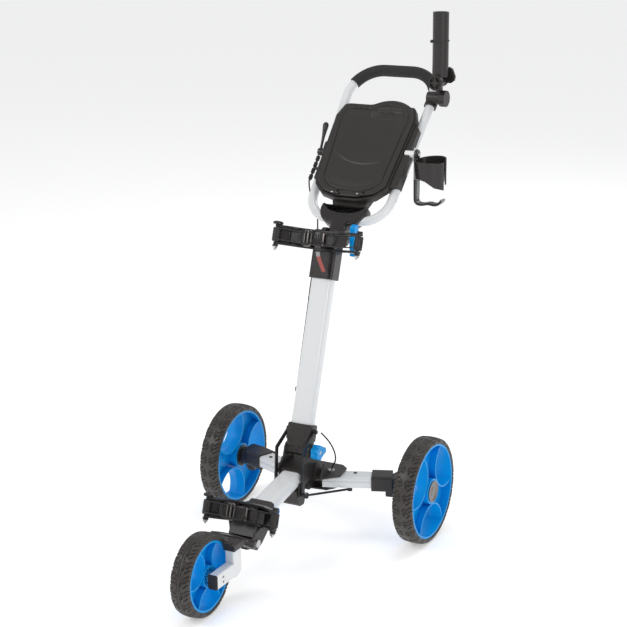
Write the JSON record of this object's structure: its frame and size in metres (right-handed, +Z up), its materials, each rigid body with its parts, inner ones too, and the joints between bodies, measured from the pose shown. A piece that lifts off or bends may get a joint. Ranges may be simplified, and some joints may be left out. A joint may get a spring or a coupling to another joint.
{
  "type": "golf push trolley",
  "caption": "Folding three-wheeled golf push trolley with bag brackets, handle console, cup holder, umbrella holder and parking brake lever.",
  "frame": {"origin": "point on the ground below the middle of the rear axle line", "axes": "+X to the right side seen from the front wheel, towards the umbrella holder; -Y forwards to the front wheel; +Z up"},
  "size_m": [0.632, 1.1904, 1.328],
  "materials": {
    "white_paint": "gloss",
    "black_plastic": "satin",
    "blue_plastic": "gloss",
    "tyre": "matte",
    "steel": "satin",
    "black_steel": "satin",
    "grey_metal": "satin",
    "black_strap": "woven",
    "cable_sheath": "satin",
    "grip_foam": "matte",
    "white_plastic": "gloss"
  },
  "bodies": {
    "hub": {"hub_frame": "black_plastic", "front_leg": "white_paint", "pivot_pins": "steel", "leg_head": "black_plastic", "lower_cradle": "black_plastic", "lower_strap": "black_strap", "lower_posts": "steel", "hub_cable": "cable_sheath"},
    "mast": {"mast_tube": "white_paint", "mast_foot": "black_plastic", "mast_head": "black_plastic", "upper_cradle": "black_plastic", "upper_strap": "black_strap", "upper_posts": "steel", "handle_pivot_bolt": "steel", "brake_cable": "cable_sheath"},
    "slider": {"slide_block": "black_plastic"},
    "links": {"fold_links": "black_steel"},
    "rod_right": {"arm_rod_right": "black_steel"},
    "rod_left": {"arm_rod_left": "black_steel"},
    "arm_right": {"rear_arm_right": "white_paint", "wheel_bracket_right": "black_plastic", "axle_right": "steel"},
    "arm_left": {"rear_arm_left": "white_paint", "wheel_bracket_left": "black_plastic", "axle_left": "steel"},
    "wheel_right": {"rear_tyre_right": "tyre", "rear_rim_right": "blue_plastic", "hub_cap_right": "grey_metal", "wheel_bearings_right": "steel", "brake_ring_right": "black_plastic"},
    "wheel_left": {"rear_tyre_left": "tyre", "rear_rim_left": "blue_plastic", "hub_cap_left": "grey_metal", "wheel_bearings_left": "steel", "brake_ring_left": "black_plastic"},
    "front_fork": {"fork_tube": "white_paint", "fork_cap": "black_plastic", "bag_rest": "black_plastic", "front_axle": "steel"},
    "front_wheel": {"front_tyre": "tyre", "front_rim": "blue_plastic", "front_bearings": "steel"},
    "front_button": {"front_release": "blue_plastic"},
    "handle": {"handle_loop": "white_paint", "handle_grip": "grip_foam", "handle_clamp": "black_plastic", "console_tray": "black_plastic", "brake_mount": "black_steel", "cup_mount": "white_plastic", "umbrella_clamp": "black_plastic"},
    "lid": {"console_lid": "black_plastic"},
    "brake": {"brake_lever": "black_plastic"},
    "cup": {"cup_holder": "black_plastic"},
    "umbrella_arm": {"umbrella_neck": "black_plastic"},
    "umbrella": {"umbrella_tube": "black_plastic"},
    "swivel_knob": {"swivel_knob": "black_plastic"},
    "tilt_knob": {"tilt_knob": "black_plastic"},
    "handle_latch": {"handle_latch": "blue_plastic"},
    "mast_latch": {"mast_latch": "blue_plastic"}
  },
  "joints": [
    {"name": "mast_fold", "type": "hinge", "parent": "hub", "child": "mast", "pos_m": [0, -0.145, 0.252], "axis": [1, 0, 0], "range_deg": [0, 90], "deforming": ["hub_cable"]},
    {"name": "slider_travel", "type": "slide", "parent": "hub", "child": "slider", "axis": [0, -0.9848, -0.1736], "range_m": [0, 0.07001]},
    {"name": "link_swing", "type": "hinge", "parent": "slider", "child": "links", "pos_m": [0, -0.203, 0.154], "axis": [-1, 0, 0], "range_deg": [0, 2.51]},
    {"name": "rod_right_swing", "type": "hinge", "parent": "slider", "child": "rod_right", "pos_m": [0.05, -0.203, 0.154], "axis": [0, 0, 1], "range_deg": [0, 10.61]},
    {"name": "rod_left_swing", "type": "hinge", "parent": "slider", "child": "rod_left", "pos_m": [-0.05, -0.203, 0.154], "axis": [0, 0, -1], "range_deg": [0, 10.61]},
    {"name": "arm_right_swing", "type": "hinge", "parent": "hub", "child": "arm_right", "pos_m": [0.06, -0.082, 0.158], "axis": [0, 0, -1], "range_deg": [0, 60.01]},
    {"name": "arm_left_swing", "type": "hinge", "parent": "hub", "child": "arm_left", "pos_m": [-0.06, -0.082, 0.158], "axis": [0, 0, 1], "range_deg": [0, 60.01]},
    {"name": "wheel_right_spin", "type": "hinge", "parent": "arm_right", "child": "wheel_right", "pos_m": [0.287, 0, 0.14], "axis": [1, 0, 0], "continuous": true},
    {"name": "wheel_left_spin", "type": "hinge", "parent": "arm_left", "child": "wheel_left", "pos_m": [-0.287, 0, 0.14], "axis": [1, 0, 0], "continuous": true},
    {"name": "front_fold", "type": "hinge", "parent": "hub", "child": "front_fork", "pos_m": [0, -0.43, 0.109], "axis": [1, 0, 0], "range_deg": [0, 135]},
    {"name": "front_wheel_spin", "type": "hinge", "parent": "front_fork", "child": "front_wheel", "pos_m": [0, -0.628, 0.1016], "axis": [1, 0, 0], "continuous": true},
    {"name": "front_button_press", "type": "slide", "parent": "hub", "child": "front_button", "axis": [-1, 0, 0], "range_m": [0, 0.003], "stiffness_N_per_m": 400},
    {"name": "handle_fold", "type": "hinge", "parent": "mast", "child": "handle", "pos_m": [0, 0.06, 0.772], "axis": [-1, 0, 0], "range_deg": [0, 122], "deforming": ["brake_cable"]},
    {"name": "lid_open", "type": "hinge", "parent": "handle", "child": "lid", "pos_m": [0, 0.12486, 0.86643], "axis": [1, 0, 0], "range_deg": [0, 100]},
    {"name": "brake_pull", "type": "hinge", "parent": "handle", "child": "brake", "pos_m": [-0.1515, 0.266, 0.95], "axis": [-1, 0, 0], "range_deg": [0, 40]},
    {"name": "cup_swing", "type": "hinge", "parent": "handle", "child": "cup", "pos_m": [0.146, 0.241, 0.97], "axis": [1, 0, 0], "range_deg": [-40, 60]},
    {"name": "umbrella_swivel", "type": "hinge", "parent": "handle", "child": "umbrella_arm", "pos_m": [0.147, 0.375, 1.1], "axis": [1, 0, 0], "range_deg": [-10, 90]},
    {"name": "umbrella_tilt", "type": "hinge", "parent": "umbrella_arm", "child": "umbrella", "pos_m": [0.154, 0.375, 1.145], "axis": [0, 1, 0], "range_deg": [-12, 55]},
    {"name": "swivel_knob_turn", "type": "hinge", "parent": "handle", "child": "swivel_knob", "pos_m": [0.16, 0.375, 1.1], "axis": [1, 0, 0], "range_deg": [0, 180]},
    {"name": "tilt_knob_turn", "type": "hinge", "parent": "umbrella_arm", "child": "tilt_knob", "pos_m": [0.154, 0.36, 1.145], "axis": [0, 1, 0], "range_deg": [0, 180]},
    {"name": "handle_latch_turn", "type": "hinge", "parent": "mast", "child": "handle_latch", "pos_m": [0.047, 0.06, 0.772], "axis": [1, 0, 0], "range_deg": [0, 70]},
    {"name": "mast_latch_turn", "type": "hinge", "parent": "hub", "child": "mast_latch", "pos_m": [0.052, -0.145, 0.252], "axis": [1, 0, 0], "range_deg": [0, 60]}
  ],
  "couplings": [
    {"joint": "slider_travel", "follows": "mast_fold", "m_per_rad": 0.044563},
    {"joint": "link_swing", "follows": "mast_fold", "ratio": 0.027778},
    {"joint": "rod_right_swing", "follows": "mast_fold", "ratio": 0.11778},
    {"joint": "rod_left_swing", "follows": "mast_fold", "ratio": 0.11778},
    {"joint": "arm_right_swing", "follows": "mast_fold", "ratio": 0.66667},
    {"joint": "arm_left_swing", "follows": "mast_fold", "ratio": 0.66667}
  ]
}
